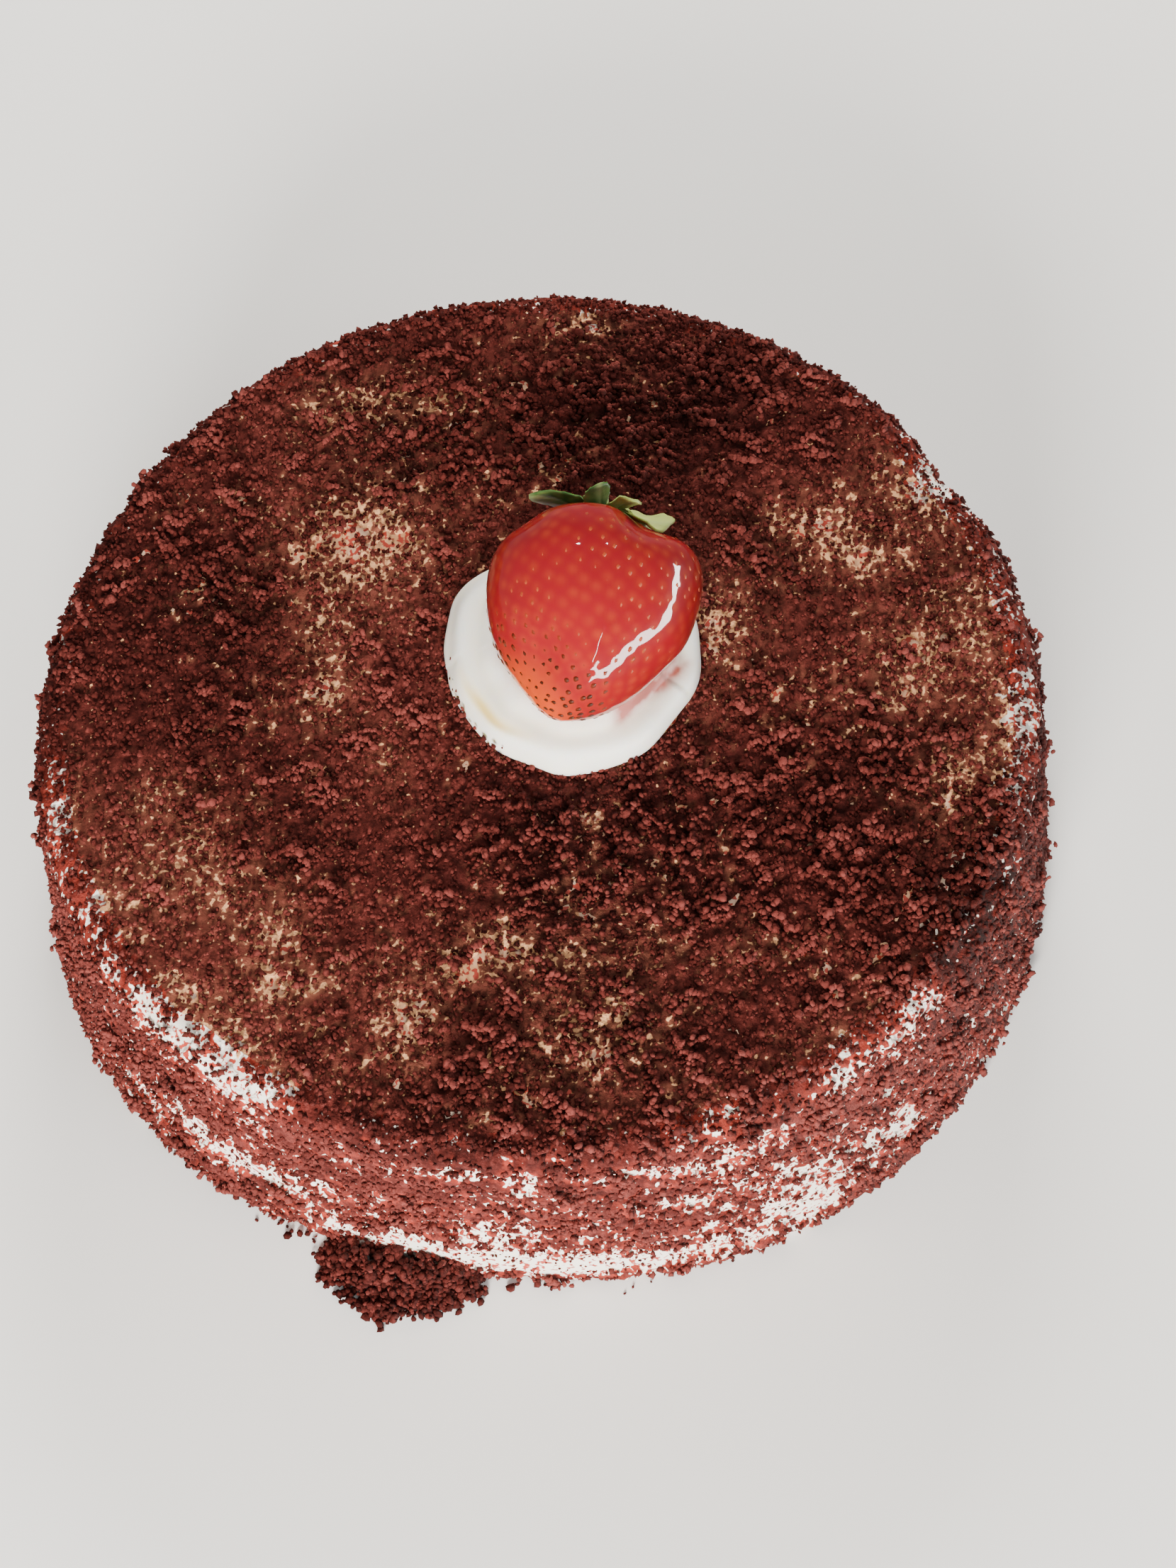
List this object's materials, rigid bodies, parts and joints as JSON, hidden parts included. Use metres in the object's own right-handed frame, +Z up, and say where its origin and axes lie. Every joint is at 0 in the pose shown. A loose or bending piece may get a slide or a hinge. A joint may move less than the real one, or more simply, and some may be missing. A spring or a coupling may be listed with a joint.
{
  "type": "chocolate cake",
  "caption": "Round whole chocolate cake coated in cream and dark red-brown cake crumbs, with a low piped cream rosette that holds a glazed strawberry with its leaves.",
  "frame": {"origin": "middle of the cake's flat base, on the surface it stands on", "axes": "+Z up through the cake, -Y towards the side that faces the viewer, +X to the viewer's right"},
  "size_m": [0.2093, 0.2128, 0.0962],
  "materials": {
    "crumb_coat": "rough cake crumbs on cream",
    "whipped_cream": "smooth piped cream",
    "berry_red": "glossy glaze",
    "leaf_green": "thin leaf"
  },
  "bodies": {
    "root": {"cake": "crumb_coat", "cream_rosette": "whipped_cream", "strawberry": "berry_red", "calyx": "leaf_green"}
  },
  "joints": []
}
